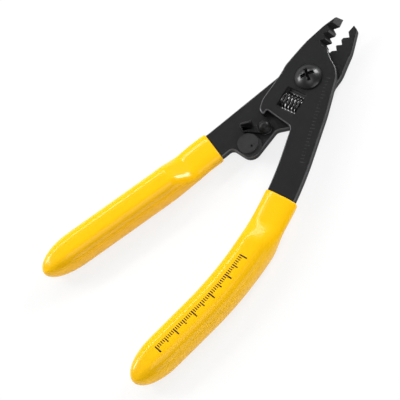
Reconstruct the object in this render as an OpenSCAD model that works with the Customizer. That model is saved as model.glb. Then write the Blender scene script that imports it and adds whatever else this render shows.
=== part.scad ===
/* [Plates] */
// Thickness of each steel plate
plate_t = 3; // [2.5:0.1:3.6]
// Play between the two plates
plate_gap = 0.05; // [0.02:0.01:0.1]
// Radius of the front plate round the pivot
front_boss_r = 11.4; // [10.8:0.1:12]
// Radius of the rear plate round the pivot
rear_boss_r = 10.6; // [10:0.1:11]

/* [Jaws] */
// Distance from the pivot to the jaw tips
jaw_reach = 28.6; // [27:0.1:30]
// Angle that the jaws stand open at rest
jaw_open = 16; // [15:0.25:17]
// How far each cutting edge passes the centre line when shut
land_overlap = 1.45; // [1.2:0.05:1.7]
// Width of the jaws at their tips
tip_w = 2.3; // [2:0.1:2.6]
// Distances of the three notches from the pivot
notch_x = [23.5, 19.3, 16.1];
// Size of the hole that each pair of notches leaves when shut
notch_hole = [0.9, 0.3, 0.14];
// Half width of a notch as a share of its depth
notch_spread = 0.85; // [0.75:0.01:0.9]
// Width of the ground slope behind the cutting edges
bevel_w = 2.6; // [2:0.1:3]

/* [Pivot] */
// Diameter of the screw's shoulder, which both plates turn on
shoulder_d = 7; // [6:0.1:8]
// Diameter of the screw's thread
thread_d = 5; // [4:0.1:5.5]
// Diameter of the screw's head
head_d = 11; // [10:0.1:12]
// Height of the screw's head
head_h = 3; // [2.4:0.1:3.4]
// Direction of the cross recess
recess_angle = 60; // [0:1:90]
// Width of the cross recess's slots
recess_w = 1.3; // [1:0.1:1.6]
// Length of the cross recess's slots
recess_l = 5.6; // [4.5:0.1:6]
// Depth of the cross recess
recess_depth = 1.5; // [1:0.1:1.8]
// Outer diameter of the washer
washer_d = 11; // [10:0.1:12]
// Thickness of the washer
washer_t = 0.5; // [0.4:0.1:1]
// Width of the nut across its flats
nut_w = 8; // [7.5:0.1:9]
// Thickness of the nut
nut_t = 2.7; // [2.4:0.1:3.5]
// Radial running clearance of a pin in its hole
running = 0.03; // [0.02:0.01:0.08]

/* [Spring] */
// Outer diameter of the spring
spring_d = 6.6; // [5.8:0.1:7]
// Diameter of the spring's wire
wire_d = 0.9; // [0.7:0.05:1]
// Number of coils
spring_turns = 5.5; // [4.5:0.5:6]
// Length of the windows that the spring lies in
window_l = 8.7; // [8:0.1:9.2]
// Width of the windows
window_w = 8.9; // [8:0.1:9.5]
// Distance from the pivot to the middle of the windows
window_r = 11.75; // [11.4:0.05:12]
// Length of the tongues that hold the spring's ends
tongue_l = 1.6; // [1.2:0.1:2]
// Width of the tongues
tongue_w = 2.2; // [1.8:0.1:2.4]

/* [Lock] */
// Distance from the pivot to the lock rivet
rivet_r = 26.5; // [26.2:0.1:27]
// Diameter of the rivet's shank
rivet_d = 3; // [2.5:0.1:3.4]
// Diameter of the rivet's closed end at the back
rivet_foot_d = 4.9; // [4.4:0.1:5.4]
// Diameter of the rivet's dome
dome_d = 5.4; // [5:0.1:6]
// Height of the rivet's dome
dome_h = 2.5; // [1.8:0.1:2.7]
// Thickness of the spring washer under the lever
lock_washer_t = 0.3; // [0.2:0.05:0.5]
// Thickness of the lever
lever_t = 1.2; // [1:0.1:1.5]
// Length of the lever from its rivet to its tip
lever_l = 10.9; // [10.5:0.1:11.2]
// Radius of the lever round its rivet
lever_hub_r = 2.8; // [2.6:0.1:3.2]
// Direction of the lever when it is unlocked
lever_angle = 120; // [118:0.5:122]
// Angle that the lever turns through to lock the jaws
lock_turn = 62; // [60:0.5:64]
// Height of the lever's thumb tab above the lever
tab_h = 4.4; // [3:0.1:4.6]
// Length of the thumb tab along the lever
tab_l = 5.2; // [4.4:0.1:5.4]

/* [Stop] */
// Diameter of the stop cam's disc
disc_d = 8.6; // [8:0.1:9]
// Height of the disc above its collar
disc_h = 1; // [0.8:0.1:1.5]
// Diameter of the knurled collar under the disc
collar_d = 9; // [8.4:0.1:9.2]
// Height of the collar
collar_h = 1; // [0.8:0.1:1.5]
// Diameter of the screw that clamps the cam from behind
stop_screw_d = 3; // [2.5:0.1:3.5]
// Diameter of that screw's countersunk head
stop_head_d = 5.7; // [5.2:0.1:6.2]
// Diameter of the hole in the disc for a pin spanner
spanner_d = 0.9; // [0.6:0.1:1.2]

/* [Grips] */
// Thickness of the grips
grip_t = 12.4; // [11:0.1:14]
// Width of the straight grip
rear_grip_w = 13.4; // [13:0.1:15]
// Width of the curved grip
front_grip_w = 15.2; // [14:0.1:16]
// Wall of the grips at their mouths
grip_wall = 1.05; // [0.8:0.05:1.4]
// Distance from the pivot to the straight grip's mouth
rear_mouth = 46.5; // [45:0.5:48]
// Distance from the pivot to the straight grip's end
rear_end = 130.8; // [125:0.1:135]
// How far the straight grip's body lies to the side of its mouth
body_drop = 1.9; // [1:0.1:2.2]
// Length of the grips' round ends
cap_l = 16.5; // [14:0.1:18]
// Distance along the handle from the pivot to the curved grip's mouth
front_mouth = 52; // [50:0.5:54]
// Length of the curved grip's straight end stretch
front_tail = 37; // [32:0.1:42]
// Radius that the curved handle bends to
bend_r = 155; // [140:1:170]
// Angle that the curved handle bends through
bend_turn = 27.5; // [22:0.5:30]
// Angle that the curved grip's mouth is cut at
mouth_skew = 7.5; // [0:0.5:9]

/* [Hidden] */

// Heights of the layers, from the surface that the tool lies on
rear_z = nut_t + washer_t;
shear_z = rear_z + plate_t;
front_z = shear_z + plate_gap;
front_top = front_z + plate_t;
mid_z = grip_t / 2;

// Directions of the two handles from the pivot
rear_angle = 165;
front_angle = 203;
// Half widths of the two tangs, and how far outside its grip the straight one starts
rear_tang = 6.05;
tang_root = 1.5;
front_tang = 6.3;
// Offset of each handle's middle line to the right of the pivot, and of the front tang in its grip
rear_shift = 1.05;
front_shift = -6.73;
tang_shift = 0.25;
// Length along the grips in which they swell from their mouths to their bodies
swell_start = 12;
swell_l = 11;
// Clearance between a tang and the pocket of its grip
grip_clear = 0.05;

// Shoulder of the jaws behind the last notch, and the neck below it
jaw_root = 14.3;
neck = [12, 3.6];
// Length that the tips' outer corners stand back
tip_back = 0.7;
// Corners of the front plate from the jaw back to the lobe, with their roundings
front_back = [
    [jaw_reach - 8.1, 10.05, 24], [9.5, 11.45, 40], [0, front_boss_r, 25], [-7, 10.2, 20],
    [-18.2, 9, 9], [-22.3, 7.2, 2.6]
];
// Outer corner of the lobe, which the lever props, and the lobe's inner edge
hook = [-23.2, 4.2];
lobe_in = 20.6;
crotch = [-20.5, -8.7, 2.5];
// Corners of the rear plate: shoulder, heel of the stop's lug, the lug and the belly below the pivot
rear_back = [[7, 8.4, 2], [-5, 11.5, 10]];
lug = [[-41, 6.2, 2.2], [-40.5, -4.3, 4.2], [-24.6, -3.4, 2.5], [-19, -8.4, 4]];
belly = [[-6, -10.8, 6], [8.4, -9.5, 14], [jaw_reach - 9.9, -5.85, 24]];
// Middle of the windows and the direction of the spring in them
window_angle = 185.4;
spring_tilt = 9.9;
window_c = window_r * [cos(window_angle), sin(window_angle)];
// Thickness of the tongues that hold the spring, and of the lever's thumb tab
tongue_t = 1.8;
tab_t = 1;
// Depths of the countersinks for the rivet and the stop screw, and their clearance across
rivet_foot_t = 0.95;
stop_head_t = 1.35;
sink_clear = 0.2;
// Slots of the stop screw's cross recess: length, width and depth
slot = [3, 0.8, 0.9];
// Number and size of the knurls on the stop cam's collar
knurls = 30;
knurl = 0.5;
// Distance of the spanner hole from the disc's middle
spanner_c = disc_d * 0.24;
// Places of the lock rivet and the stop cam
rivet = rivet_r * [cos(178.2), sin(178.2)];
disc_c = [-35.9, 1.4];
lever_z = shear_z + lock_washer_t + 0.02;
spring_r = (spring_d - wire_d) / 2;

function unit(v) = v / norm(v);
function turned(p, a) = [p[0] * cos(a) - p[1] * sin(a), p[0] * sin(a) + p[1] * cos(a)];
// A point at distance s along a direction and n to its right
function along(a, s, n) = [s * cos(a) + n * sin(a), s * sin(a) - n * cos(a)];

// The arc that rounds corner b, between neighbours a and c
function corner(a, b, c, r, steps = 6) =
    let (u = unit(a - b), v = unit(c - b), half = acos(u * v) / 2)
    let (centre = b + unit(u + v) * r / sin(half), from = b + u * r / tan(half) - centre)
    let (to = b + v * r / tan(half) - centre, turn = acos(unit(from) * unit(to)))
    let (side = from[0] * to[1] - from[1] * to[0] > 0 ? 1 : -1)
    r == 0 ? [b] : [for (i = [0 : steps]) centre + turned(from, side * turn * i / steps)];

// An outline from corners [x, y, radius]
function rounded(p) = [
    for (i = [0 : len(p) - 1])
    let (a = p[(i + len(p) - 1) % len(p)], b = p[i], c = p[(i + 1) % len(p)])
    each corner([a[0], a[1]], [b[0], b[1]], [c[0], c[1]], b[2])
];

// Where the curved handle's middle line lies, s along it from the pivot, and its heading
bend_start = 36;
bend_l = bend_r * bend_turn * PI / 180;
front_end = bend_start + bend_l + front_tail;
function front_heading(s) =
    front_angle - bend_turn * min(1, max(0, (s - bend_start) / bend_l));
function front_path(s) =
    let (h = front_heading(s), start = along(front_angle, min(s, bend_start), front_shift))
    let (arc = bend_r * [sin(front_angle) - sin(h), cos(h) - cos(front_angle)])
    start + arc + max(0, s - bend_start - bend_l) * [cos(h), sin(h)];
function front_side(s, n) =
    let (h = front_heading(s))
    front_path(s) + n * [sin(h), -cos(h)];

function rear_side(s, n) = along(rear_angle, s, n + rear_shift);

// The edge that both jaws are ground to: land and three notches, with the jaw above it
function notch(i) =
    let (depth = land_overlap + notch_hole[i] / 2, w = depth * notch_spread)
    [[notch_x[i] + w, -land_overlap], [notch_x[i], depth - land_overlap],
     [notch_x[i] - w, -land_overlap]];

module jaw_air() {
    slope = atan(bevel_w / plate_t);
    edge = [
        [jaw_reach + 2, -land_overlap], each notch(0), each notch(1), each notch(2),
        [jaw_root, -land_overlap], [jaw_root, -8], [jaw_reach + 2, -8]
    ];
    rotate([-slope, 0, 0])
    translate([0, 0, -plate_t * sin(slope) * 2])
    linear_extrude(3 * plate_t)
    polygon([for (p = edge) [p[0], p[1] * cos(slope)]]);
}

module spring_window() {
    translate(window_c)
    rotate(spring_tilt)
    square([window_w, window_l], center = true);
}

// A tongue that stands into the spring's end
module tongue(end, z) {
    root = 0.5;
    translate([window_c[0], window_c[1], z])
    rotate(spring_tilt)
    translate([-tongue_w / 2, end * window_l / 2 - (end > 0 ? tongue_l : root), 0])
    cube([tongue_w, tongue_l + root, tongue_t]);
}

module front_tang(clear) {
    side = [for (s = [bend_start : 4 : front_end - 15]) s];
    last = front_end - cap_l / 2 + clear;
    polygon([
        for (s = side) front_side(s, tang_shift + front_tang + clear),
        front_side(last, front_tang * 0.55),
        front_side(last, -front_tang * 0.55),
        for (i = [len(side) - 1 : -1 : 0]) front_side(side[i], tang_shift - front_tang - clear)
    ]);
}

module rear_tang(clear) {
    narrow = rear_tang - 1.2 + clear;
    last = rear_end - cap_l / 2 + clear;
    polygon([
        rear_side(rear_mouth - tang_root, rear_tang + clear),
        rear_side(rear_mouth + 5, rear_tang + clear),
        rear_side(rear_mouth + 26, narrow - body_drop),
        rear_side(rear_end - 15, narrow - body_drop),
        rear_side(last, rear_tang * 0.45 - body_drop),
        rear_side(last, -rear_tang * 0.6 - body_drop),
        rear_side(rear_end - 15, -narrow - body_drop),
        rear_side(rear_mouth + 26, -narrow - body_drop),
        rear_side(rear_mouth + 5, -rear_tang - clear),
        rear_side(rear_mouth - tang_root, -rear_tang - clear)
    ]);
}

module front_outline() {
    tip_in = turned([jaw_reach, -land_overlap], jaw_open);
    tip_out = turned([jaw_reach - tip_back, tip_w - land_overlap], jaw_open);
    root = turned([jaw_root, -land_overlap], jaw_open);
    under = turned([neck[0], -neck[1]], jaw_open);
    inner = front_side(bend_start, tang_shift + front_tang);
    outer = front_side(bend_start, tang_shift - front_tang);
    waist = along(front_angle, 14, front_shift + tang_shift - front_tang + 0.28);
    hip = along(front_angle, 0, -front_boss_r);
    polygon(rounded(concat(
        [[tip_in[0], tip_in[1], 0.15], [tip_out[0], tip_out[1], 0.7]],
        front_back,
        [
            [hook[0], hook[1], 0.5], [-lobe_in, hook[1] + 0.3, 0.6], [-lobe_in, -2.5, 20], crotch,
            [inner[0], inner[1], 0], [outer[0], outer[1], 0], [waist[0], waist[1], 60],
            [hip[0], hip[1], 6], [8, -8, 3], [under[0], under[1], 1.5], [root[0], root[1], 0.6]
        ]
    )));
}

module front_plate() {
    color("#26282b")
    difference() {
        union() {
            translate([0, 0, front_z])
            linear_extrude(plate_t)
            difference() {
                union() {
                    front_outline();
                    circle(front_boss_r, $fn = 96);
                    front_tang(0);
                }
                circle(d = shoulder_d + 2 * running, $fn = 64);
                spring_window();
            }
            tongue(-1, front_z);
        }
        rotate(jaw_open)
        translate([0, 0, front_z])
        jaw_air();
    }
}

module rear_outline() {
    mouth_up = rear_side(rear_mouth - tang_root, rear_tang);
    mouth_low = rear_side(rear_mouth - tang_root, -rear_tang);
    polygon(rounded(concat(
        [
            [jaw_reach - tip_back, land_overlap - tip_w, 0.7], [jaw_reach, land_overlap, 0.15],
            [jaw_root, land_overlap, 0.6], [neck[0], neck[1], 1.5]
        ],
        rear_back,
        [[mouth_up[0], mouth_up[1], 0], [mouth_low[0], mouth_low[1], 0]],
        lug,
        belly
    )));
}

module rear_plate() {
    color("#222427")
    difference() {
        union() {
            translate([0, 0, rear_z])
            linear_extrude(plate_t)
            difference() {
                union() {
                    rear_outline();
                    circle(rear_boss_r, $fn = 96);
                    rear_tang(0);
                }
                circle(d = shoulder_d + 2 * running, $fn = 64);
                spring_window();
                translate(rivet)
                circle(d = rivet_d + 2 * running, $fn = 48);
                translate(disc_c)
                circle(d = stop_screw_d + 2 * running, $fn = 48);
            }
            tongue(1, shear_z - tongue_t);
        }
        // Countersinks at the back for the rivet and the stop screw
        translate([rivet[0], rivet[1], rear_z - 0.01])
        cylinder(h = rivet_foot_t + 0.06, d1 = rivet_foot_d + sink_clear, d2 = rivet_d + 0.1, $fn = 48);
        translate([disc_c[0], disc_c[1], rear_z - 0.01])
        cylinder(h = stop_head_t + 0.06, d1 = stop_head_d + sink_clear, d2 = stop_screw_d + 0.1, $fn = 48);
        translate([0, 0, shear_z])
        mirror([0, 0, 1])
        mirror([0, 1, 0])
        jaw_air();
    }
}

module pivot_screw() {
    play = 0.05;
    rim = 0.5;
    dome_r = (pow(head_d / 2, 2) + pow(head_h - rim, 2)) / (2 * (head_h - rim));
    color("#303236")
    difference() {
        union() {
            translate([0, 0, front_top + play])
            intersection() {
                cylinder(h = head_h, d = head_d, $fn = 64);
                translate([0, 0, head_h - dome_r])
                sphere(dome_r, $fn = 96);
            }
            translate([0, 0, rear_z])
            cylinder(h = front_top + play - rear_z, d = shoulder_d, $fn = 64);
            cylinder(h = rear_z + 0.5, d = thread_d, $fn = 48);
        }
        for (a = [recess_angle, recess_angle + 90])
            translate([0, 0, front_top + play + head_h - recess_depth])
            rotate(a)
            translate([-recess_l / 2, -recess_w / 2, 0])
            cube([recess_l, recess_w, recess_depth + 1]);
    }
}

module pivot_washer() {
    color("#8b8f94")
    translate([0, 0, nut_t])
    linear_extrude(washer_t)
    difference() {
        circle(d = washer_d, $fn = 64);
        circle(d = thread_d + 4 * running, $fn = 48);
    }
}

module pivot_nut() {
    color("#7c8085")
    difference() {
        intersection() {
            rotate(15)
            cylinder(h = nut_t, d = nut_w / cos(30), $fn = 6);
            // Chamfer of the free corners
            cylinder(h = nut_t, r1 = nut_w / 2 + 0.05, r2 = nut_w / 2 + 0.05 + nut_t, $fn = 64);
        }
        translate([0, 0, -1])
        cylinder(h = nut_t + 2, d = thread_d + 2 * running, $fn = 48);
    }
}

// A coil spring whose ends lie flat, standing along +Y from the middle
module return_spring() {
    sides = 8;
    rings = 14 * spring_turns;
    play = 0.05;
    length = window_l - 2 * play - wire_d;
    points = [
        for (i = [0 : rings])
        let (t = i / rings, turn = 360 * spring_turns * t)
        let (edge = 1 / spring_turns, flat = min(1, max(0, (t - edge * 0.7) / (1 - edge * 1.4))))
        for (j = [0 : sides - 1])
        let (r = spring_r + wire_d / 2 * cos(360 * j / sides))
        let (rise = wire_d * 1.02 * (min(t, edge * 0.7) + max(0, t - 1 + edge * 0.7)) * spring_turns)
        let (free = length - wire_d * 1.02 * 1.4)
        [r * cos(turn), -length / 2 + rise + free * flat + wire_d / 2 * sin(360 * j / sides),
         r * sin(turn)]
    ];
    faces = [
        [for (j = [0 : sides - 1]) j],
        [for (j = [sides - 1 : -1 : 0]) rings * sides + j],
        for (i = [0 : rings - 1])
        for (j = [0 : sides - 1])
        let (a = i * sides + j, b = i * sides + (j + 1) % sides)
        for (f = [[a, a + sides, b + sides], [a, b + sides, b]]) f
    ];
    color("#b9bcc0")
    translate([window_c[0], window_c[1], shear_z + plate_gap / 2])
    rotate(spring_tilt)
    polyhedron(points, faces, convexity = 8);
}

// The lever's outline with its rivet at the origin, pointing along +X
module lever_outline() {
    polygon(rounded([
        [0, lever_hub_r, 0], [0.5, -1.5, 0], [2.4, -0.4, 1], [5.6, -0.3, 0.8],
        [lever_l - 1.3, -0.5, 0.3], [lever_l, -0.2, 0.4], [lever_l - 2.4, lever_hub_r, 0.8]
    ]));
    circle(lever_hub_r, $fn = 64);
}

module lock_lever() {
    play = 0.04;
    color("#1d1f21")
    translate([rivet[0], rivet[1], lever_z])
    rotate(lever_angle)
    difference() {
        union() {
            linear_extrude(lever_t)
            lever_outline();
            // Thumb tab, bent up along the outer half of the lever's edge and lowest at its tip
            translate([lever_l - 1.1 - tab_l, 0.75, lever_t - 0.2])
            rotate([90, 0, 0])
            linear_extrude(tab_t)
            polygon([
                [0, 0], [tab_l, 0], [tab_l, tab_h * 0.32], [tab_l - 0.8, tab_h * 0.5],
                [0.7, tab_h + 0.2], [0, tab_h - 0.2]
            ]);
        }
        translate([0, 0, -1])
        cylinder(h = lever_t + 2, d = rivet_d + 2 * play, $fn = 48);
    }
}

module lock_rivet() {
    base = lever_z + lever_t + 0.04;
    dome_r = (pow(dome_d / 2, 2) + pow(dome_h, 2)) / (2 * dome_h);
    color("#2a2c2f")
    union() {
        translate([rivet[0], rivet[1], rear_z])
        cylinder(h = base - rear_z + 0.2, d = rivet_d, $fn = 48);
        translate([rivet[0], rivet[1], rear_z])
        cylinder(h = rivet_foot_t, d1 = rivet_foot_d, d2 = rivet_d, $fn = 48);
        translate([rivet[0], rivet[1], base])
        intersection() {
            cylinder(h = dome_h, d = dome_d, $fn = 64);
            translate([0, 0, dome_h - dome_r])
            sphere(dome_r, $fn = 96);
        }
    }
}

module lock_washer() {
    color("#6f7378")
    translate([rivet[0], rivet[1], shear_z])
    linear_extrude(lock_washer_t)
    difference() {
        circle(d = rivet_d + 2.6, $fn = 64);
        circle(d = rivet_d + 0.2, $fn = 48);
    }
}

// Closing stop: the knurled collar stands off centre, so that turning it sets the jaws' shut place
module stop_cam() {
    // Heading of the front handle when shut, and the distance from the disc's middle to its edge
    shut = front_angle - jaw_open;
    edge = front_shift + tang_shift + front_tang;
    gap = disc_c[0] * sin(shut) - disc_c[1] * cos(shut) - edge;
    offset_l = gap - collar_d / 2 - 0.3;
    collar_c = disc_c + offset_l * [-sin(shut), cos(shut)];
    color("#3a3c40")
    difference() {
        union() {
            translate([collar_c[0], collar_c[1], shear_z])
            linear_extrude(collar_h)
            difference() {
                circle(d = collar_d, $fn = 96);
                for (i = [0 : knurls - 1])
                    rotate(i * 360 / knurls)
                    translate([collar_d / 2 + knurl / 4, 0])
                    rotate(45)
                    square(knurl, center = true);
            }
            translate([disc_c[0], disc_c[1], shear_z + collar_h])
            cylinder(h = disc_h, d = disc_d, $fn = 96);
        }
        translate([disc_c[0], disc_c[1], shear_z - 1])
        cylinder(h = collar_h + 1.5, d = stop_screw_d + 2 * running, $fn = 48);
        translate([disc_c[0], disc_c[1] - spanner_c, shear_z + collar_h + disc_h - 0.6])
        cylinder(h = 1, d = spanner_d, $fn = 32);
    }
}

module stop_screw() {
    color("#303236")
    translate([disc_c[0], disc_c[1], rear_z])
    difference() {
        union() {
            cylinder(h = plate_t + collar_h + 0.3, d = stop_screw_d, $fn = 48);
            cylinder(h = stop_head_t, d1 = stop_head_d, d2 = stop_screw_d, $fn = 48);
        }
        for (a = [0, 90])
            rotate(a)
            translate([-slot[0] / 2, -slot[1] / 2, -1])
            cube([slot[0], slot[1], 1 + slot[2]]);
    }
}

function smooth(x) =
    let (t = min(1, max(0, x)))
    t * t * (3 - 2 * t);

// One ring of a grip: centre, heading, half width, half thickness and height of its middle
function ring(p, h, w, t, z, sides = 28) = [
    for (j = [0 : sides - 1])
    let (c = cos(360 * j / sides), s = sin(360 * j / sides), power = 0.72)
    let (n = w * sign(c) * pow(abs(c), power), up = t * sign(s) * pow(abs(s), power))
    [p[0] + n * sin(h), p[1] - n * cos(h), z + up]
];

// A closed skin through rings of points
module skin(rings) {
    sides = len(rings[0]);
    last = len(rings) - 1;
    polyhedron(
        [for (r = rings) each r],
        [
            [for (j = [sides - 1 : -1 : 0]) j],
            [for (j = [0 : sides - 1]) last * sides + j],
            for (i = [0 : last - 1])
            for (j = [0 : sides - 1])
            let (a = i * sides + j, b = i * sides + (j + 1) % sides)
            for (f = [[a, b, b + sides], [a, b + sides, a + sides]]) f
        ],
        convexity = 4
    );
}

// Stations of a grip: a lip at the mouth, the flat collar, the swell, the body and the round end
function stations(mouth, end) = concat(
    [mouth, mouth + 0.25, mouth + 0.8, mouth + 6],
    [for (i = [0 : 8]) mouth + swell_start + swell_l * i / 8],
    [for (i = [1 : 5]) mouth + swell_start + swell_l
        + (end - cap_l - mouth - swell_start - swell_l) * i / 5],
    [for (a = [10 : 10 : 80]) end - cap_l + cap_l * sin(a)],
    [end - 0.1]
);
function lip(s, mouth) = 0.6 - 0.6 * sqrt(1 - pow(1 - min(1, max(0, (s - mouth) / 0.8)), 2));
// Place in the round end, from 0 where it starts to 1 at the tip
function cap(s, end) = min(0.995, max(0, 1 - (end - s) / cap_l));
// How far the straight grip's middle lies to the side of its tang's
function drop(s) =
    -body_drop * smooth((s - rear_mouth - 2.5) / (2 * swell_start)) - 0.8 * pow(cap(s, rear_end), 2);
function skewed(s) =
    front_heading(s) - mouth_skew * (1 - smooth((s - front_mouth) / swell_start));

module grip(mouth, end, tang, plate_mid, width) {
    skin([
        for (s = stations(mouth, end))
        let (swell = smooth((s - mouth - swell_start) / swell_l), u = cap(s, end))
        let (collar_w = tang + grip_wall, collar_t = plate_t / 2 + grip_wall)
        let (shrink = sqrt(1 - u * u), cut = lip(s, mouth))
        let (w = (collar_w + (width / 2 - collar_w) * swell) * shrink - cut)
        let (t = (collar_t + (mid_z - collar_t) * swell) * pow(shrink, 0.9) - cut)
        let (z = plate_mid + (mid_z - plate_mid) * swell)
        $front ? ring(front_path(s), skewed(s), w, t, z)
            : ring(rear_side(s, drop(s)), rear_angle, w, t, z)
    ]);
}

module front_grip() {
    color("#ffc800")
    difference() {
        grip(front_mouth, front_end, front_tang, front_z + plate_t / 2, front_grip_w, $front = true);
        translate([0, 0, front_z - grip_clear])
        linear_extrude(plate_t + 2 * grip_clear)
        front_tang(grip_clear);
    }
}

module rear_grip() {
    color("#ffc800")
    difference() {
        grip(rear_mouth, rear_end, rear_tang, rear_z + plate_t / 2, rear_grip_w, $front = false);
        translate([0, 0, rear_z - grip_clear])
        linear_extrude(plate_t + 2 * grip_clear)
        rear_tang(grip_clear);
    }
}

front_plate();
rear_plate();
pivot_screw();
pivot_washer();
pivot_nut();
return_spring();
lock_lever();
lock_rivet();
lock_washer();
stop_cam();
stop_screw();
front_grip();
rear_grip();
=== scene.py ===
"""Fibre stripper: models the visible pieces on the CAD frame, finishes them and sets the studio."""

import math

import bmesh
import bpy
from mathutils import Matrix, Vector


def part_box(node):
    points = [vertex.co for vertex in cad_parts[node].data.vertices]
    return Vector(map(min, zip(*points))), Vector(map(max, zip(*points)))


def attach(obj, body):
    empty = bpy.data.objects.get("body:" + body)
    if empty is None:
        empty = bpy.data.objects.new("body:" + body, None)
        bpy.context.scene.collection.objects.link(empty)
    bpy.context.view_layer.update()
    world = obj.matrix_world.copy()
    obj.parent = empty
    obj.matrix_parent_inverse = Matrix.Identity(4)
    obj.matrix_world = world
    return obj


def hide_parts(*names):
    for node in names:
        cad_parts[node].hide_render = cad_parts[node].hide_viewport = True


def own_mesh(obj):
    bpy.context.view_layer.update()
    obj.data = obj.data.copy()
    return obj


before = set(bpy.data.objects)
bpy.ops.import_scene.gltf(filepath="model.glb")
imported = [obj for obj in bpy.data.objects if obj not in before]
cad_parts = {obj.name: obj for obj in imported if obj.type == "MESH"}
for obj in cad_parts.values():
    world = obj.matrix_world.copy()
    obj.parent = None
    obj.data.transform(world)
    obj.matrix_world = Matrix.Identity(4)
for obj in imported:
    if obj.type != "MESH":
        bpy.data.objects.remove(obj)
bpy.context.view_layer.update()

bl_info = {
    "name": "Fibre stripper",
    "version": (1, 0, 0),
    "blender": (4, 5, 0),
    "location": "3D View > Sidebar > Stripper",
    "description": "Models and finishes the pieces of a fibre stripper on its CAD frame",
    "category": "Object",
}

MM = 0.001

# Angle that the jaws stand open at rest, which their ground edges follow
JAW_OPEN = math.radians(16)
# Middle line of the handles, as the CAD source has it: heading and offset to the right
STRAIGHT_HEADING = math.radians(165)
STRAIGHT_OFFSET = 1.05 * MM
CURVED_HEADING = math.radians(203)
CURVED_OFFSET = -6.73 * MM
# Where the curved handle starts to bend, the radius and angle of the bend, and the tail after it
BEND_START = 36 * MM
BEND_RADIUS = 155 * MM
BEND_TURN = math.radians(27.5)
# Mouth and end of each grip, measured along its handle from the pivot
STRAIGHT_MOUTH = 46.5 * MM
STRAIGHT_END = 130.8 * MM
CURVED_MOUTH = 52 * MM
CURVED_END = BEND_START + BEND_RADIUS * BEND_TURN + 37 * MM
# How far the straight grip's body and tip lie to the side of its mouth
BODY_DROP = 1.9 * MM
TIP_DROP = 0.8 * MM
# Angle that the curved grip's mouth is cut at
MOUTH_SKEW = math.radians(7.5)
# The rule stamped on the front plate: its heading, how far it lies beside the pivot, how far
# before the pivot it starts, and its length
RULE_HEADING = math.radians(205)
RULE_OFFSET = 7.2 * MM
RULE_START = 1 * MM
RULE_LENGTH = 37.5 * MM
# The scale printed on the curved grip: where it starts along the grip, its length, how far it
# lies beside the middle line, and the height above which it is printed
SCALE_START = 30 * MM
SCALE_LENGTH = 50 * MM
SCALE_OFFSET = 1.2 * MM
SCALE_FLOOR = 8 * MM
# Step, thickness and reach of the marks of each, in millimetres, and half a thick mark
RULE_ROWS = ((1.5, 0.36, 1.3), (7.5, 0.4, 2.0))
SCALE_ROWS = ((1, 0.42, 1.7), (5, 0.5, 2.7), (10, 0.6, 3.6))
HALF_MARK = 0.3
# Length that one unit of the grips' maps stands for
MAP_UNIT = 100 * MM
# Half widths of the tangs where they enter the grips, and half the thickness of the plates
STRAIGHT_TANG = 6.05 * MM
CURVED_TANG = 6.3 * MM
HALF_PLATE = 1.5 * MM
# Where a grip starts to swell from its mouth, over what length, and the length of its round end
SWELL_START = 12 * MM
SWELL_LENGTH = 11 * MM
CAP_LENGTH = 16.5 * MM
# Share of the round end at which its last ring closes
CAP_LIMIT = 0.995
# How far a mouth's lip is rounded inwards, and over what length
LIP_DROP = 0.6 * MM
LIP_LENGTH = 0.8 * MM
# The pocket in a mouth: depth of each step, and how far it stands off the tang
POCKET_STEPS = ((0, 0.5 * MM), (0.25 * MM, 0.12 * MM), (3 * MM, 0.1 * MM))
POCKET_SIDE = 0.15 * MM
# Direction of the return spring in its windows, and the windows' middle
SPRING_TILT = math.radians(9.9)
WINDOW_MIDDLE = Vector((-11.7, -1.11, 0)) * MM
# Radius round the windows' middle within which rims stay black, without the painted edge highlight
WINDOW_REACH = 7 * MM
# Where the ground part of the jaws starts, how far that line slants, and how deep the ground
# slopes reach behind the cutting edges
JAW_ROOT = 14 * MM
JAW_SLANT = 0.3
SLOPE_DEPTH = 3.4 * MM
# Radius within which the rivet and the stop screw hide the edges of their holes
HIDDEN_HOLE = 3 * MM
# Depth and reach of the pivot screw's cross recess, whose faces get painted shade
RECESS_DEPTH = 2 * MM
RECESS_REACH = 3.1 * MM
# Distances under which vertices are joined: in any CAD mesh, and at the plates' corners
SAME_PLACE = 0.002 * MM
CORNER_JOIN = 0.12 * MM
# Angles from which an edge is rounded, and under which faces are shaded as one: on the rounded
# pieces, and on the round ones
SHARP = math.radians(32)
SMOOTH_ROUNDED = math.radians(38)
SMOOTH_ROUND = math.radians(50)
# The camera's right and up, and the middle of its view
VIEW_RIGHT = Vector((0.6494, -0.7207, -0.2424))
VIEW_UP = Vector((0.7400, 0.5255, 0.4198))
VIEW_MIDDLE = Vector((-64.3, 4.8, 0.2)) * MM
SENSOR_WIDTH = 36
# The middle of what the lamps light
LIT_MIDDLE = Vector((-0.05, 0, 0))


# ---------------------------------------------------------------- selecting and shaping


def only(*objects):
    """Selects these objects and nothing else."""
    bpy.ops.object.select_all(action="DESELECT")
    for piece in objects:
        piece.select_set(True)
    bpy.context.view_layer.objects.active = objects[0]


def edit_all(piece):
    """Opens a piece in edit mode with everything selected."""
    only(piece)
    bpy.ops.object.mode_set(mode="EDIT")
    bpy.ops.mesh.select_all(action="SELECT")


def done():
    """Closes edit mode."""
    bpy.ops.object.mode_set(mode="OBJECT")


def new_piece(name):
    """Names the primitive that has just been added."""
    piece = bpy.context.active_object
    piece.name = name
    piece.data.name = name
    return piece


def settle(piece):
    """Puts a piece's place into its mesh."""
    only(piece)
    bpy.ops.object.transform_apply(location=True, rotation=True, scale=True)


def apply_modifier(piece, kind, **settings):
    """Adds a modifier with these settings and applies it."""
    only(piece)
    bpy.ops.object.modifier_add(type=kind)
    modifier = piece.modifiers[-1]
    for key, value in settings.items():
        setattr(modifier, key, value)
    bpy.ops.object.modifier_apply(modifier=modifier.name)


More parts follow.
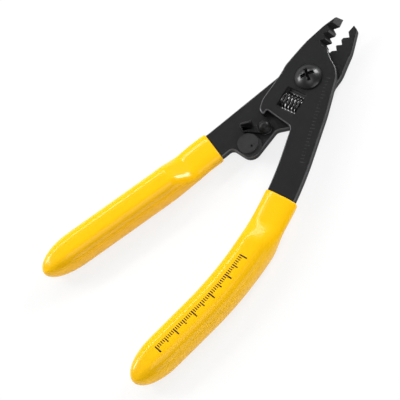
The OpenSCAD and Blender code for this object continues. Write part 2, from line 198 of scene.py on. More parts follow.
def face_outwards(piece):
    """Joins repeated vertices and turns every face outwards."""
    edit_all(piece)
    bpy.ops.mesh.remove_doubles(threshold=SAME_PLACE / 2)
    bpy.ops.mesh.normals_make_consistent(inside=False)
    done()


def merged_copy(node, name, join=SAME_PLACE):
    """A piece with a CAD node's shape, its loose triangles joined and its flat faces made whole."""
    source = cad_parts[node]
    piece = bpy.data.objects.new(name, source.data.copy())
    bpy.context.scene.collection.objects.link(piece)
    piece.data.materials.clear()
    edit_all(piece)
    bpy.ops.mesh.customdata_custom_splitnormals_clear()
    bpy.ops.mesh.remove_doubles(threshold=SAME_PLACE)
    bpy.ops.mesh.dissolve_limited(angle_limit=math.radians(0.6))
    bpy.ops.mesh.remove_doubles(threshold=join)
    done()
    return piece


def round_edges(piece, width, segments=3, share=None, material=-1):
    """Rounds the sharp edges. share(middle) gives the part of the width that an edge gets."""
    mesh = bmesh.new()
    mesh.from_mesh(piece.data)
    weight = mesh.edges.layers.float.new("bevel_weight_edge")
    for edge in mesh.edges:
        if len(edge.link_faces) == 2 and edge.calc_face_angle(0) > SHARP:
            middle = (edge.verts[0].co + edge.verts[1].co) / 2
            edge[weight] = share(middle) if share else 1
    mesh.to_mesh(piece.data)
    mesh.free()
    apply_modifier(
        piece,
        "BEVEL",
        limit_method="WEIGHT",
        width=width,
        segments=segments,
        use_clamp_overlap=False,
        miter_outer="MITER_ARC",
        material=material,
    )
    apply_modifier(piece, "TRIANGULATE", min_vertices=5, ngon_method="BEAUTY")
    only(piece)
    bpy.ops.object.shade_smooth_by_angle(angle=SMOOTH_ROUNDED)
    apply_modifier(piece, "WEIGHTED_NORMAL", keep_sharp=True)


def wear(piece, *materials):
    """Gives a piece its materials, in the order of their slots."""
    for material in materials:
        piece.data.materials.append(material)


def fit(piece, body, slot, *nodes):
    """Puts a finished piece on its body in place of the CAD nodes."""
    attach(piece, body)
    if nodes:
        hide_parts(*nodes)


def ease(x):
    """0 to 1, smooth at both ends."""
    x = min(1, max(0, x))
    return x * x * (3 - 2 * x)


def beside(heading, along, right):
    """A point at a distance along a heading and to its right."""
    forward = Vector((math.cos(heading), math.sin(heading), 0))
    side = Vector((math.sin(heading), -math.cos(heading), 0))
    return forward * along + side * right


def into_cap(left):
    """How far into its round end a grip is, from the length that is left to its tip."""
    return min(CAP_LIMIT, max(0, 1 - left / CAP_LENGTH))


# ---------------------------------------------------------------- materials


class Value:
    """A shader node's output that can be reckoned with like a number."""

    def __init__(self, recipe, socket):
        self.recipe = recipe
        self.socket = socket

    def __add__(self, other):
        return self.recipe.math("ADD", self, other)

    def __radd__(self, other):
        return self.recipe.math("ADD", other, self)

    def __sub__(self, other):
        return self.recipe.math("SUBTRACT", self, other)

    def __rsub__(self, other):
        return self.recipe.math("SUBTRACT", other, self)

    def __mul__(self, other):
        return self.recipe.math("MULTIPLY", self, other)

    def __rmul__(self, other):
        return self.recipe.math("MULTIPLY", other, self)

    def __truediv__(self, other):
        return self.recipe.math("DIVIDE", self, other)

    def __rtruediv__(self, other):
        return self.recipe.math("DIVIDE", other, self)

    def __gt__(self, other):
        return self.recipe.math("GREATER_THAN", self, other)

    def __lt__(self, other):
        return self.recipe.math("LESS_THAN", self, other)

    def fraction(self):
        return self.recipe.math("FRACT", self)

    def size(self):
        return self.recipe.math("ABSOLUTE", self)

    def held(self):
        """The value kept between 0 and 1."""
        return self.recipe.node("ShaderNodeClamp", Value=self)["Result"]

    def over(self, low, high):
        """0 at low, 1 at high and even between them."""
        return ((self - low) / (high - low)).held()


class Outputs:
    """The outputs of one node, by name."""

    def __init__(self, recipe, node):
        self.recipe = recipe
        self.node = node

    def __getitem__(self, name):
        return Value(self.recipe, self.node.outputs[name])


class Recipe:
    """A material in the making."""

    def __init__(self, name):
        self.material = bpy.data.materials.new(name)
        self.material.use_nodes = True
        self.tree = self.material.node_tree
        self.shader = self.tree.nodes["Principled BSDF"]

    def node(self, kind, settings=None, **inputs):
        """Adds a node, with its settings and its sockets' values or links."""
        node = self.tree.nodes.new(kind)
        for key, value in (settings or {}).items():
            setattr(node, key, value)
        for key, value in inputs.items():
            self.feed(node.inputs[key.replace("_", " ")], value)
        return Outputs(self, node)

    def feed(self, socket, value):
        if isinstance(value, Value):
            self.tree.links.new(value.socket, socket)
        else:
            socket.default_value = value

    def math(self, operation, first, second=0.0):
        node = self.tree.nodes.new("ShaderNodeMath")
        node.operation = operation
        self.feed(node.inputs[0], first)
        self.feed(node.inputs[1], second)
        return Value(self, node.outputs[0])

    def mix(self, factor, first, second):
        """A colour between two colours."""
        node = self.tree.nodes.new("ShaderNodeMix")
        node.data_type = "RGBA"
        self.feed(node.inputs["Factor"], factor)
        for socket, value in ((node.inputs[6], first), (node.inputs[7], second)):
            self.feed(socket, value if isinstance(value, Value) else (*value, 1))
        return Value(self, node.outputs[2])

    def place(self):
        return self.node("ShaderNodeTexCoord")["Object"]

    def noise(self, size, detail=2.0, vector=None):
        """Noise whose blotches are about this size."""
        outputs = self.node(
            "ShaderNodeTexNoise",
            Vector=vector or self.place(),
            Scale=1 / size,
            Detail=detail,
            Roughness=0.55,
        )
        return outputs["Fac"]

    def bump(self, height, depth, strength=1.0):
        outputs = self.node("ShaderNodeBump", Height=height, Distance=depth, Strength=strength)
        self.surface(Normal=outputs["Normal"])

    def surface(self, **inputs):
        for key, value in inputs.items():
            self.feed(self.shader.inputs[key.replace("_", " ")], value)
        return self.material


def grey(level):
    return (level, level, level * 1.04)


def black_plate_finish(ruled_face=None):
    """Blackened steel: satin, a little cloudy, with a fine blasted grain. A rule is stamped into
    the face at the height that is given."""
    recipe = Recipe("blackened_plate_ruled" if ruled_face else "blackened_plate")
    cloud = recipe.noise(6 * MM, 3)
    grain = recipe.noise(0.22 * MM, 2)
    scuff = recipe.noise(1.1 * MM, 5).over(0.6, 0.78)
    tone = recipe.mix(cloud, grey(0.0075), grey(0.0115))
    height = grain
    if ruled_face:
        marks = stamped_rule(recipe, ruled_face - 0.1 * MM)
        tone = recipe.mix(marks * 0.7, tone, grey(0.05))
        height = grain - marks * 4
    recipe.bump(height, 0.012 * MM, 0.6)
    return recipe.surface(
        Base_Color=recipe.mix(scuff * 0.3, tone, grey(0.026)),
        Roughness=0.48 + (cloud - 0.5) * 0.16 - scuff * 0.08,
        Specular_IOR_Level=0.15,
    )


def stamped_rule(recipe, floor):
    """A plain rule stamped along the front plate's right edge, partly rubbed away."""
    place = recipe.node("ShaderNodeMapping", Vector=recipe.place(), Rotation=(0, 0, -RULE_HEADING))
    parts = recipe.node("ShaderNodeSeparateXYZ", Vector=place["Vector"])
    along = (parts["X"] + RULE_START) / MM
    across = (parts["Y"] - RULE_OFFSET) / MM
    ink = ticks(recipe, along, across, RULE_ROWS)
    left = recipe.noise(0.5 * MM, 2).over(0.38, 0.6) * (parts["Z"] > floor)
    return ink * left * (along > -HALF_MARK) * (along < RULE_LENGTH / MM + HALF_MARK)


def ticks(recipe, along, across, rows):
    """Marks of a scale, from rows of step, thickness and reach."""
    ink = None
    for step, thick, reach in rows:
        tick = ((along / step + 0.5).fraction() - 0.5).size() < thick / 2 / step
        span = (across < reach) * (across > 0)
        ink = tick * span if ink is None else recipe.math("MAXIMUM", ink, tick * span)
    return ink


def worn_edge_highlight_finish():
    """The rounded edges of the plates, polished by handling: their lighter colour is partly wear
    and partly a painted highlight along the rims.
    """
    recipe = Recipe("worn_edge_painted_highlight")
    rub = recipe.noise(2.4 * MM, 4)
    recipe.bump(recipe.noise(0.2 * MM, 2), 0.006 * MM, 0.5)
    return recipe.surface(
        Base_Color=recipe.mix(rub, grey(0.05), grey(0.12)),
        Roughness=0.3 + rub * 0.1,
        Metallic=0.5,
    )


def ground_steel_finish():
    """The slopes behind the cutting edges, with the grinding wheel's fine lines across them."""
    recipe = Recipe("ground_slope")
    lines = recipe.node(
        "ShaderNodeMapping", Vector=recipe.place(), Rotation=(0, 0, -JAW_OPEN), Scale=(9, 1, 1)
    )["Vector"]
    cut = recipe.noise(0.9 * MM, 3, lines)
    recipe.bump(cut, 0.01 * MM, 0.6)
    return recipe.surface(
        Base_Color=recipe.mix(cut, grey(0.06), grey(0.11)),
        Roughness=0.38 + cut * 0.18,
        Metallic=0.4,
        Specular_IOR_Level=0.35,
    )


def polished_black_finish():
    """The pivot screw's glossy black."""
    recipe = Recipe("polished_black")
    smear = recipe.noise(2.2 * MM, 3)
    recipe.bump(recipe.noise(0.5 * MM, 2), 0.006 * MM, 0.35)
    return recipe.surface(
        Base_Color=recipe.mix(smear, grey(0.004), grey(0.009)),
        Roughness=0.29 + smear * 0.08,
        Specular_IOR_Level=0.6,
    )


def recess_painted_shade_finish():
    """Inside of the screw's cross recess: painted shade, matte and darker than the head, in random
    blotches.
    """
    recipe = Recipe("recess_painted_shade")
    shade_blotch = recipe.noise(0.6 * MM, 2)
    return recipe.surface(
        Base_Color=recipe.mix(shade_blotch, grey(0.001), grey(0.004)),
        Roughness=0.7 - shade_blotch * 0.15,
        Specular_IOR_Level=0.05,
    )


def stamped_black_finish():
    """The lock lever and its rivet: dark with a light rub."""
    recipe = Recipe("stamped_black")
    rub = recipe.noise(1.3 * MM, 4)
    recipe.bump(recipe.noise(0.18 * MM, 2), 0.01 * MM, 0.5)
    return recipe.surface(
        Base_Color=recipe.mix(rub, grey(0.005), grey(0.011)),
        Roughness=0.34 + rub * 0.12,
        Specular_IOR_Level=0.22,
    )


def grey_stop_finish():
    """The stop's dull grey, faintly turned."""
    recipe = Recipe("grey_stop")
    cloud = recipe.noise(1.8 * MM, 3)
    recipe.bump(recipe.noise(0.16 * MM, 2), 0.01 * MM, 0.6)
    return recipe.surface(
        Base_Color=recipe.mix(cloud, grey(0.022), grey(0.032)),
        Roughness=0.58 + cloud * 0.1,
        Specular_IOR_Level=0.15,
    )


def plain_steel_finish():
    """Nut and washers: bare steel with a thin oil film."""
    recipe = Recipe("plain_steel")
    film = recipe.noise(1.5 * MM, 4)
    recipe.bump(recipe.noise(0.25 * MM, 3), 0.008 * MM, 0.5)
    return recipe.surface(
        Base_Color=recipe.mix(film, grey(0.22), grey(0.34)),
        Roughness=0.3 + film * 0.16,
        Metallic=1.0,
    )


def spring_wire_finish():
    """Dark bright-drawn spring wire."""
    recipe = Recipe("spring_wire")
    draw = recipe.noise(0.7 * MM, 3)
    recipe.bump(draw, 0.004 * MM, 0.4)
    return recipe.surface(
        Base_Color=recipe.mix(draw, grey(0.006), grey(0.014)),
        Roughness=0.16 + draw * 0.08,
        Specular_IOR_Level=0.55,
    )


def yellow_grip_finish(colour, printed):
    """Dipped yellow plastic. The curved grip carries a ruled scale along its flat side."""
    recipe = Recipe("yellow_grip_ruled" if printed else "yellow_grip")
    cloud = recipe.noise(14 * MM, 3)
    peel = recipe.noise(1.4 * MM, 2)
    deep = tuple(c * 0.93 for c in colour)
    tone = recipe.mix(cloud, deep, colour)
    if printed:
        tone = recipe.mix(ruled_scale(recipe), tone, (0.02, 0.014, 0.01))
    recipe.bump(peel, 0.02 * MM, 0.25)
    return recipe.surface(
        Base_Color=tone,
        Roughness=0.36 + (cloud - 0.5) * 0.08,
        Specular_IOR_Level=0.04,
        Coat_Weight=0.8,
        Coat_IOR=1.36,
        Coat_Roughness=0.17,
    )


def ruled_scale(recipe):
    """Ink of a plain scale: a tick each millimetre, longer at each fifth and tenth."""
    parts = recipe.node("ShaderNodeSeparateXYZ", Vector=recipe.node("ShaderNodeUVMap")["UV"])
    along = parts["X"] * (MAP_UNIT / MM) - SCALE_START / MM
    across = parts["Y"] * (MAP_UNIT / MM) + SCALE_OFFSET / MM
    ink = ticks(recipe, along, across, SCALE_ROWS)
    height = recipe.node("ShaderNodeSeparateXYZ", Vector=recipe.place())["Z"]
    length = SCALE_LENGTH / MM
    return ink * (along > -HALF_MARK) * (along < length + HALF_MARK) * (height > SCALE_FLOOR)


# ---------------------------------------------------------------- settings


class StripperSteel(bpy.types.PropertyGroup):
    edge_round: bpy.props.FloatProperty(
        name="Edge rounding",
        description="Radius of the plates' rolled edges",
        default=0.45 * MM,
        min=0.05 * MM,
        max=0.6 * MM,
        unit="LENGTH",
    )
    jaw_share: bpy.props.FloatProperty(
        name="Rounding at the jaws",
        description="Share of the rounding that the cutting edges keep",
        default=0.22,
        min=0.05,
        max=1.0,
    )
    small_round: bpy.props.FloatProperty(
        name="Small parts' rounding",
        description="Radius of the edges of the screw, lever, rivet and stop",
        default=0.14 * MM,
        min=0.02 * MM,
        max=0.3 * MM,
        unit="LENGTH",
    )


class StripperSpring(bpy.types.PropertyGroup):
    outer: bpy.props.FloatProperty(
        name="Outer diameter",
        description="Outer diameter of the return spring",
        default=7.1 * MM,
        unit="LENGTH",
    )
    wire: bpy.props.FloatProperty(
        name="Wire",
        description="Diameter of the spring's wire",
        default=1.0 * MM,
        unit="LENGTH",
    )
    turns: bpy.props.FloatProperty(
        name="Coils",
        description="Number of coils, closed ends included",
        default=5.5,
        min=4,
        max=7,
    )
    length: bpy.props.FloatProperty(
        name="Length",
        description="Length of the spring between the tongues' roots",
        default=8.6 * MM,
        unit="LENGTH",
    )


class StripperGrips(bpy.types.PropertyGroup):
    colour: bpy.props.FloatVectorProperty(
        name="Colour",
        description="Colour of the grips",
        default=(1.0, 0.55, 0.0),
        subtype="COLOR",
        min=0,
        max=1,
    )
    mouth_wall: bpy.props.FloatProperty(
        name="Wall at the mouth",
        description="Thickness of the plastic over the steel at the mouths",
        default=1.05 * MM,
        unit="LENGTH",
    )
    thickness: bpy.props.FloatProperty(
        name="Thickness",
        description="Thickness of the grips",
        default=12.4 * MM,
        unit="LENGTH",
    )
    straight_width: bpy.props.FloatProperty(
        name="Straight grip's width",
        description="Width of the straight grip",
        default=13.4 * MM,
        unit="LENGTH",
    )
    curved_width: bpy.props.FloatProperty(
        name="Curved grip's width",
        description="Width of the curved grip",
        default=15.2 * MM,
        unit="LENGTH",
    )


class StripperStage(bpy.types.PropertyGroup):
    floor_size: bpy.props.FloatProperty(
        name="Floor",
        description="Width of the floor",
        default=4.0,
        unit="LENGTH",
    )
    distance: bpy.props.FloatProperty(
        name="Camera distance",
        description="Distance from the camera to the middle of the view",
        default=3.0,
        unit="LENGTH",
    )
    view_width: bpy.props.FloatProperty(
        name="View width",
        description="Width of the view at the tool",
        default=158.7 * MM,
        unit="LENGTH",
    )


# ---------------------------------------------------------------- pieces


class STRIPPER_OT_plates(bpy.types.Operator):
    """Models both steel plates with rolled edges and ground slopes behind the cutting edges"""

    bl_idname = "stripper.plates"
    bl_label = "Plates"

    def execute(self, context):
        steel = context.scene.stripper_steel
        finishes = worn_edge_highlight_finish(), ground_steel_finish()
        hidden = [sum(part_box(node), Vector()) / 2 for node in ("lock_rivet", "stop_screw")]

        def share(middle):
            if any((middle.xy - hole.xy).length < HIDDEN_HOLE for hole in hidden):
                return steel.jaw_share
            return steel.jaw_share if middle.x > JAW_ROOT - middle.y * JAW_SLANT else 1

        for body, node, turn in (("front", "front_plate", JAW_OPEN), ("rear", "rear_plate", 0.0)):
            plate = merged_copy(node, node + "_steel", CORNER_JOIN)
            ruled_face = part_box(node)[1].z if body == "front" else None
            wear(plate, black_plate_finish(ruled_face), *finishes)
            # The rounded edges' faces take the second slot: worn edge colour with a painted
            # highlight.
            round_edges(plate, steel.edge_round, 3, share, 1)
            self.grind(plate, turn)
            fit(plate, body, "black_steel", node)
        return {"FINISHED"}

    def grind(self, plate, turn):
        """Gives the slopes behind the cutting edges their ground finish, and takes the worn edge
        colour and its painted highlight off the notches' walls and the windows' rims, which keep
        the plate's black."""
        along = Vector((math.cos(turn), math.sin(turn), 0))
        across = Vector((-along.y, along.x, 0))
        side = 1 if turn else -1
        for face in plate.data.polygons:
            middle = face.center
            reach, depth = middle.dot(along), side * middle.dot(across)
            outward = side * face.normal.dot(across) > 0.3
            at_jaw = reach > JAW_ROOT and depth < SLOPE_DEPTH and not outward
            sloped = 0.3 < abs(face.normal.z) < 0.93 and abs(face.normal.dot(along)) < 0.25
            in_window = (middle.xy - WINDOW_MIDDLE.xy).length < WINDOW_REACH
            if at_jaw and sloped and face.material_index == 0:
                face.material_index = 2
            elif (at_jaw or in_window) and face.material_index == 1:
                face.material_index = 0


class STRIPPER_OT_pivot(bpy.types.Operator):
    """Models the pivot's screw, washer and nut"""

    bl_idname = "stripper.pivot"
    bl_label = "Pivot"

    def execute(self, context):
        width = context.scene.stripper_steel.small_round
        screw = merged_copy("pivot_screw", "pivot_screw_head")
        wear(screw, polished_black_finish(), recess_painted_shade_finish())
        round_edges(screw, width)
        top = max(vertex.co.z for vertex in screw.data.vertices)
        # The cross recess's faces get the painted shade.
        for face in screw.data.polygons:
            wall = abs(face.normal.z) < 0.25 or face.normal.z > 0.999
            deep = face.center.z > top - RECESS_DEPTH
            if wall and deep and face.center.xy.length < RECESS_REACH:
                face.material_index = 1
        fit(screw, "rear", "black_fastener", "pivot_screw")
        steel = plain_steel_finish()
        for node, name in (("pivot_washer", "washer_ring"), ("pivot_nut", "nut_body")):
            part = merged_copy(node, name)
            wear(part, steel)
            round_edges(part, width * 0.7, 2)
            fit(part, "rear", "plain_steel", node)
        return {"FINISHED"}


class STRIPPER_OT_spring(bpy.types.Operator):
    """Winds the return spring, with closed ends, into the plates' windows"""

    bl_idname = "stripper.spring"
    bl_label = "Return spring"

    def execute(self, context):
        sizes = context.scene.stripper_spring
        low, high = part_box("return_spring")
        middle = (low + high) / 2
        bpy.ops.object.select_all(action="DESELECT")
        bpy.ops.curve.primitive_nurbs_path_add(location=(0, 0, 0))
        coil = new_piece("return_spring_coil")
        coil.data.splines.clear()
        spline = coil.data.splines.new("POLY")
        points = self.winding(sizes)
        spline.points.add(len(points) - 1)
        turn = Matrix.Rotation(SPRING_TILT, 3, "Z")
        for target, point in zip(spline.points, points):
            target.co = (*(turn @ point + middle), 1)
        coil.data.bevel_depth = sizes.wire / 2
        coil.data.bevel_resolution = 4
        coil.data.use_fill_caps = True
        only(coil)
        bpy.ops.object.convert(target="MESH")
        face_outwards(coil)
        only(coil)
        bpy.ops.object.shade_smooth_by_angle(angle=SMOOTH_ROUND)
        wear(coil, spring_wire_finish())
        fit(coil, "rear", "spring_steel", "return_spring")
        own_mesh(coil)
        return {"FINISHED"}

    def winding(self, sizes):
        """Points of the wire's middle line, from one closed end to the other."""
        radius = (sizes.outer - sizes.wire) / 2
        steps = int(32 * sizes.turns)
        closed = 0.7
        rise = sizes.wire * 1.02
        free = sizes.length - sizes.wire - 2 * closed * rise
        points = []
        for i in range(steps + 1):
            turned = sizes.turns * i / steps
            shut = min(turned, closed) + max(0, turned - sizes.turns + closed)
            open_part = min(1, max(0, (turned - closed) / (sizes.turns - 2 * closed)))
            y = -(sizes.length - sizes.wire) / 2 + shut * rise + free * open_part
            angle = math.tau * turned
            points.append(Vector((radius * math.cos(angle), y, radius * math.sin(angle))))
        return points


class STRIPPER_OT_lock(bpy.types.Operator):
    """Models the lock's lever, rivet and spring washer"""

    bl_idname = "stripper.lock"
    bl_label = "Lock"

    def execute(self, context):
        width = context.scene.stripper_steel.small_round
        black = stamped_black_finish()
        rows = (
            ("lock_lever", "lever_strut", "lock", "black_lever", black),
            ("lock_rivet", "rivet_dome", "rear", "black_fastener", black),
            ("lock_washer", "lock_washer_ring", "rear", "plain_steel", plain_steel_finish()),
        )
        for node, name, body, slot, finish in rows:
            part = merged_copy(node, name)
            wear(part, finish)
            round_edges(part, width if node != "lock_washer" else width * 0.4)
            fit(part, body, slot, node)
        return {"FINISHED"}


class STRIPPER_OT_stop(bpy.types.Operator):
    """Models the closing stop: the disc on its knurled collar, and the screw that clamps it"""

    bl_idname = "stripper.stop"
    bl_label = "Closing stop"

    def execute(self, context):
        width = context.scene.stripper_steel.small_round
        disc = merged_copy("stop_cam", "stop_disc")
        wear(disc, grey_stop_finish())
        round_edges(disc, width * 0.6, 2)
        fit(disc, "rear", "stop_steel", "stop_cam")
        screw = merged_copy("stop_screw", "stop_screw_body")
        wear(screw, stamped_black_finish())
        round_edges(screw, width * 0.5, 2)
        fit(screw, "rear", "black_fastener", "stop_screw")
        return {"FINISHED"}


class STRIPPER_OT_grips(bpy.types.Operator):
    """Draws out both dipped grips from their mouths to their round ends"""

    bl_idname = "stripper.grips"
    bl_label = "Grips"

    def execute(self, context):
        sizes = context.scene.stripper_grips
        colour = tuple(sizes.colour)
        straight = self.draw_out(
            "straight_sleeve",
            STRAIGHT_END - STRAIGHT_MOUTH,
            STRAIGHT_TANG,
            sizes.straight_width,
            self.plate_middle("rear_plate", sizes),
            sizes,
        )
        wear(straight, yellow_grip_finish(colour, False))
        self.lay_on(straight, self.straight_line(), sizes.thickness / 2)
        fit(straight, "rear", "yellow_grip", "rear_grip")
        curved = self.draw_out(
            "curved_sleeve",
            CURVED_END - CURVED_MOUTH,
            CURVED_TANG,
            sizes.curved_width,
            self.plate_middle("front_plate", sizes),
            sizes,
            math.tan(MOUTH_SKEW),
        )
        wear(curved, yellow_grip_finish(colour, True))
        self.lay_on(curved, self.curved_line(), sizes.thickness / 2)
        fit(curved, "front", "yellow_grip", "front_grip")
        return {"FINISHED"}

    def plate_middle(self, node, sizes):
        """Height of the plate's middle over the middle of the grip."""
        low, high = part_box(node)
        return (low.z + high.z) / 2 - sizes.thickness / 2

    def draw_out(self, name, length, tang, width, plate_z, sizes, skew=0.0):
        """A sleeve along +X, drawn out ring by ring from a rounded square at its mouth."""
        bpy.ops.object.select_all(action="DESELECT")
        bpy.ops.mesh.primitive_plane_add(size=2, rotation=(0, math.pi / 2, 0))
        sleeve = new_piece(name)
        settle(sleeve)
        edit_all(sleeve)
        bpy.ops.mesh.bevel(affect="VERTICES", offset=0.75, segments=7, clamp_overlap=False)
        rings = self.rings(length, tang, width, plate_z, sizes)
        x, half_width, half_height, z = rings[0]
        bpy.ops.transform.resize(value=(1, half_width, half_height))
        bpy.ops.transform.translate(value=(x, 0, z))
        for ring, last in zip(rings[1:], rings):
            step = (ring[0] - last[0], 0, ring[3] - last[3])
            bpy.ops.mesh.extrude_region_move(TRANSFORM_OT_translate={"value": step})
            bpy.ops.transform.resize(
                value=(1, ring[1] / last[1], ring[2] / last[2]),
                center_override=(ring[0], 0, ring[3]),
            )
        done()
        self.hollow_mouth(sleeve, tang, plate_z)
        face_outwards(sleeve)
        apply_modifier(sleeve, "SUBSURF", levels=2, render_levels=2)
        only(sleeve)
        bpy.ops.object.shade_smooth_by_angle(angle=SMOOTH_ROUND)
        self.ruled_map(sleeve)
        for vertex in sleeve.data.vertices:
            vertex.co.x += vertex.co.y * skew * (1 - ease(vertex.co.x / SWELL_START))
        return sleeve

    def rings(self, length, tang, width, plate_z, sizes):
        """Place, half width, half height and middle of each ring along the sleeve."""
        body = SWELL_START + SWELL_LENGTH
        places = [0, 0.1 * MM, 0.3 * MM, 0.8 * MM, 2 * MM, 6 * MM, 9.5 * MM]
        places += [SWELL_START + SWELL_LENGTH * i / 9 for i in range(10)]
        places += [body + 1.2 * MM]
        places += [body + (length - CAP_LENGTH - body) * i / 7 for i in range(1, 8)]
        places += [
            length - CAP_LENGTH + CAP_LENGTH * math.sin(math.radians(a)) for a in range(8, 90, 8)
        ]
        collar, collar_t = tang + sizes.mouth_wall, HALF_PLATE + sizes.mouth_wall
        rings = []
        for x in places:
            swell = ease((x - SWELL_START) / SWELL_LENGTH)
            cut = LIP_DROP * (1 - math.sqrt(1 - (1 - min(1, x / LIP_LENGTH)) ** 2))
            shrink = math.sqrt(1 - into_cap(length - x) ** 2)
            half_width = (collar + (width / 2 - collar) * swell) * shrink - cut
            half_height = (collar_t + (sizes.thickness / 2 - collar_t) * swell) * shrink**0.9 - cut
            rings.append((x, half_width, half_height, plate_z * (1 - swell)))
        return rings

    def hollow_mouth(self, sleeve, tang, plate_z):
        """Sinks a pocket for the tang into the mouth."""
        edit_all(sleeve)
        bpy.ops.mesh.select_all(action="DESELECT")
        bpy.ops.mesh.select_mode(type="FACE")
        mesh = bmesh.from_edit_mesh(sleeve.data)
        mouth = min(mesh.faces, key=lambda face: face.calc_center_median().x)
        mouth.select_set(True)
        wide = max(v.co.y for v in mouth.verts)
        high = max(v.co.z for v in mouth.verts) - plate_z
        bmesh.update_edit_mesh(sleeve.data)
        for depth, clear in POCKET_STEPS:
            bpy.ops.mesh.extrude_region_move(TRANSFORM_OT_translate={"value": (depth, 0, 0)})
            new_wide, new_high = tang + POCKET_SIDE + clear, HALF_PLATE + clear
            bpy.ops.transform.resize(
                value=(1, new_wide / wide, new_high / high), center_override=(0, 0, plate_z)
            )
            wide, high = new_wide, new_high
        done()

    def ruled_map(self, sleeve):
        """A map along and across the sleeve, in the map's units."""
        while sleeve.data.uv_layers:
            sleeve.data.uv_layers.remove(sleeve.data.uv_layers[0])
        uv = sleeve.data.uv_layers.new(name="Along")
        for loop in sleeve.data.loops:
            spot = sleeve.data.vertices[loop.vertex_index].co
            uv.data[loop.index].uv = (spot.x / MAP_UNIT, spot.y / MAP_UNIT)

    def straight_line(self):
        """The straight handle's middle line, from the grip's mouth to its tip."""
        points = []
        steps = 60
        for i in range(steps + 1):
            s = STRAIGHT_MOUTH + (STRAIGHT_END - STRAIGHT_MOUTH) * i / steps
            tip = TIP_DROP * into_cap(STRAIGHT_END - s) ** 2
            drop = BODY_DROP * ease((s - STRAIGHT_MOUTH - 2.5 * MM) / (2 * SWELL_START))
            points.append(beside(STRAIGHT_HEADING, s, STRAIGHT_OFFSET - drop - tip))
        return points

    def curved_line(self):
        """The curved handle's middle line: a straight start, the bend and a straight tail."""
        points = []
        length = BEND_RADIUS * BEND_TURN
        steps = 48
        for i in range(steps + 1):
            s = CURVED_MOUTH + (CURVED_END - CURVED_MOUTH) * i / steps
            heading = CURVED_HEADING - BEND_TURN * min(1, max(0, (s - BEND_START) / length))
            start = beside(CURVED_HEADING, min(s, BEND_START), CURVED_OFFSET)
            arc = BEND_RADIUS * Vector(
                (
                    math.sin(CURVED_HEADING) - math.sin(heading),
                    math.cos(heading) - math.cos(CURVED_HEADING),
                    0,
                )
            )
            tail = max(0, s - BEND_START - length)
            points.append(start + arc + tail * Vector((math.cos(heading), math.sin(heading), 0)))
        return points

    def lay_on(self, sleeve, line, height):
        """Bends a straight sleeve along its handle's middle line, at a height over the bench."""
        bpy.ops.object.select_all(action="DESELECT")
        bpy.ops.curve.primitive_nurbs_path_add(location=(0, 0, 0))
        path = new_piece(sleeve.name + "_line")
        path.data.splines.clear()
        spline = path.data.splines.new("POLY")
        spline.points.add(len(line) - 1)
        for target, point in zip(spline.points, line):
            target.co = (point.x, point.y, height, 1)
        apply_modifier(sleeve, "CURVE", object=path, deform_axis="POS_X")
        bpy.data.objects.remove(path)


# ---------------------------------------------------------------- stage


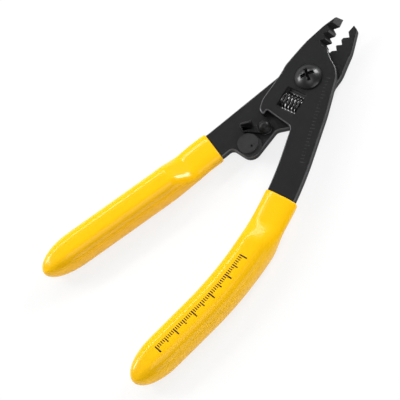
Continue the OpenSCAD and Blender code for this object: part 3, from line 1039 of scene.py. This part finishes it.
class STRIPPER_OT_stage(bpy.types.Operator):
    """Sets the floor, the lights and the camera"""

    bl_idname = "stripper.stage"
    bl_label = "Stage"

    def execute(self, context):
        stage = context.scene.stripper_stage
        self.floor(stage)
        self.surroundings(context.scene)
        self.lamps()
        self.camera(context.scene, stage)
        context.scene.view_settings.view_transform = "Standard"
        return {"FINISHED"}

    def floor(self, stage):
        """A pale floor just under the tool, which keeps its shadow."""
        bpy.ops.object.select_all(action="DESELECT")
        bpy.ops.mesh.primitive_plane_add(size=stage.floor_size, location=(0, 0, -0.05 * MM))
        floor = new_piece("floor")
        settle(floor)
        recipe = Recipe("pale_floor")
        recipe.surface(Base_Color=(0.9, 0.9, 0.9, 1), Roughness=0.9)
        self.lit(recipe, recipe.shader.outputs[0], 0.8)
        floor.data.materials.append(recipe.material)

    def lit(self, recipe, shaded, share):
        """Mixes a share of plain white into what every ray but the diffuse ones sees."""
        rays = recipe.node("ShaderNodeLightPath")
        seen = recipe.math("MAXIMUM", rays["Is Camera Ray"], rays["Is Glossy Ray"])
        seen = recipe.math("MAXIMUM", seen, rays["Is Transmission Ray"])
        white = recipe.node("ShaderNodeEmission", Color=(1, 1, 1, 1), Strength=1.0)["Emission"]
        mixer = recipe.tree.nodes.new("ShaderNodeMixShader")
        recipe.feed(mixer.inputs[0], seen * share)
        recipe.tree.links.new(shaded, mixer.inputs[1])
        recipe.tree.links.new(white.socket, mixer.inputs[2])
        output = recipe.tree.nodes["Material Output"]
        recipe.tree.links.new(mixer.outputs[0], output.inputs["Surface"])

    def surroundings(self, scene):
        """A world that is white to the camera and dimmer to the tool, more so on its -Y side."""
        world = bpy.data.worlds.new("studio")
        scene.world = world
        world.use_nodes = True
        background = world.node_tree.nodes["Background"]
        background.inputs["Color"].default_value = (1, 1, 1, 1)
        tree = world.node_tree
        rays = tree.nodes.new("ShaderNodeLightPath")
        heading = tree.nodes.new("ShaderNodeTexCoord")
        parts = tree.nodes.new("ShaderNodeSeparateXYZ")
        sky, level = (tree.nodes.new("ShaderNodeMapRange") for _ in range(2))
        spread = {"From Min": -0.7, "From Max": 0.7, "To Min": 0.16, "To Max": 0.36}
        for name, value in spread.items():
            sky.inputs[name].default_value = value
        level.inputs["To Max"].default_value = 1.0
        for output, socket in (
            (heading.outputs["Generated"], parts.inputs["Vector"]),
            (parts.outputs["Y"], sky.inputs["Value"]),
            (sky.outputs["Result"], level.inputs["To Min"]),
            (rays.outputs["Is Camera Ray"], level.inputs["Value"]),
            (level.outputs["Result"], background.inputs["Strength"]),
        ):
            tree.links.new(output, socket)

    def lamps(self):
        """Square and strip lamps: place in metres, sides in metres and power in watts."""
        rows = (
            ("far_light", (0.78, 0.05, 0.42), (0.26, 0.26), 5.0),
            ("side_light", (-0.43, 0.66, 0.44), (0.3, 0.3), 4.2),
            ("top_light", (-0.2, -0.3, 1.0), (0.6, 0.6), 2.0),
            ("left_strip", (0.16, 0.64, 0.64), (0.9, 0.12), 3.2),
            ("right_light", (-0.1, -0.8, 0.26), (0.7, 0.5), 2.2),
        )
        for name, place, sides, power in rows:
            lamp = bpy.data.lights.new(name, "AREA")
            lamp.shape = "RECTANGLE"
            lamp.size, lamp.size_y = sides
            lamp.energy = power
            holder = bpy.data.objects.new(name, lamp)
            bpy.context.scene.collection.objects.link(holder)
            holder.location = place
            aim = LIT_MIDDLE - Vector(place)
            holder.rotation_euler = aim.to_track_quat("-Z", "Y").to_euler()

    def camera(self, scene, stage):
        """A long lens over the front plate, turned so that the jaws point up and right."""
        back = VIEW_RIGHT.cross(VIEW_UP).normalized()
        up = back.cross(VIEW_RIGHT).normalized()
        right = up.cross(back)
        data = bpy.data.cameras.new("camera")
        data.sensor_width = SENSOR_WIDTH
        data.lens = SENSOR_WIDTH * stage.distance / stage.view_width
        data.clip_start, data.clip_end = 0.1, 30
        camera = bpy.data.objects.new("camera", data)
        scene.collection.objects.link(camera)
        turn = Matrix((right, up, back)).transposed().to_4x4()
        camera.matrix_world = Matrix.Translation(VIEW_MIDDLE + back * stage.distance) @ turn
        scene.camera = camera


class STRIPPER_PT_pieces(bpy.types.Panel):
    """Lists the stripper's settings and the steps that model it"""

    bl_idname = "STRIPPER_PT_pieces"
    bl_label = "Fibre stripper"
    bl_space_type = "VIEW_3D"
    bl_region_type = "UI"
    bl_category = "Stripper"

    def draw(self, context):
        for title, key, steps in PANEL_ROWS:
            box = self.layout.box()
            box.label(text=title)
            settings = getattr(context.scene, key)
            for name in settings.__annotations__:
                box.prop(settings, name)
            for step in steps:
                box.operator(step)


STEPS = (
    "stripper.plates",
    "stripper.pivot",
    "stripper.spring",
    "stripper.lock",
    "stripper.stop",
    "stripper.grips",
    "stripper.stage",
)
PANEL_ROWS = (
    ("Steel", "stripper_steel", STEPS[:2] + STEPS[3:5]),
    ("Spring", "stripper_spring", STEPS[2:3]),
    ("Grips", "stripper_grips", STEPS[5:6]),
    ("Stage", "stripper_stage", STEPS[6:]),
)
SETTINGS = (
    ("stripper_steel", StripperSteel),
    ("stripper_spring", StripperSpring),
    ("stripper_grips", StripperGrips),
    ("stripper_stage", StripperStage),
)
CLASSES = (
    *(group for _, group in SETTINGS),
    STRIPPER_OT_plates,
    STRIPPER_OT_pivot,
    STRIPPER_OT_spring,
    STRIPPER_OT_lock,
    STRIPPER_OT_stop,
    STRIPPER_OT_grips,
    STRIPPER_OT_stage,
    STRIPPER_PT_pieces,
)


def register():
    for item in CLASSES:
        bpy.utils.register_class(item)
    for key, group in SETTINGS:
        setattr(bpy.types.Scene, key, bpy.props.PointerProperty(type=group))


def unregister():
    for key, _ in SETTINGS:
        delattr(bpy.types.Scene, key)
    for item in reversed(CLASSES):
        bpy.utils.unregister_class(item)


def main():
    register()
    for step in STEPS:
        family, name = step.split(".")
        getattr(getattr(bpy.ops, family), name)()


if __name__ == "__main__":
    main()
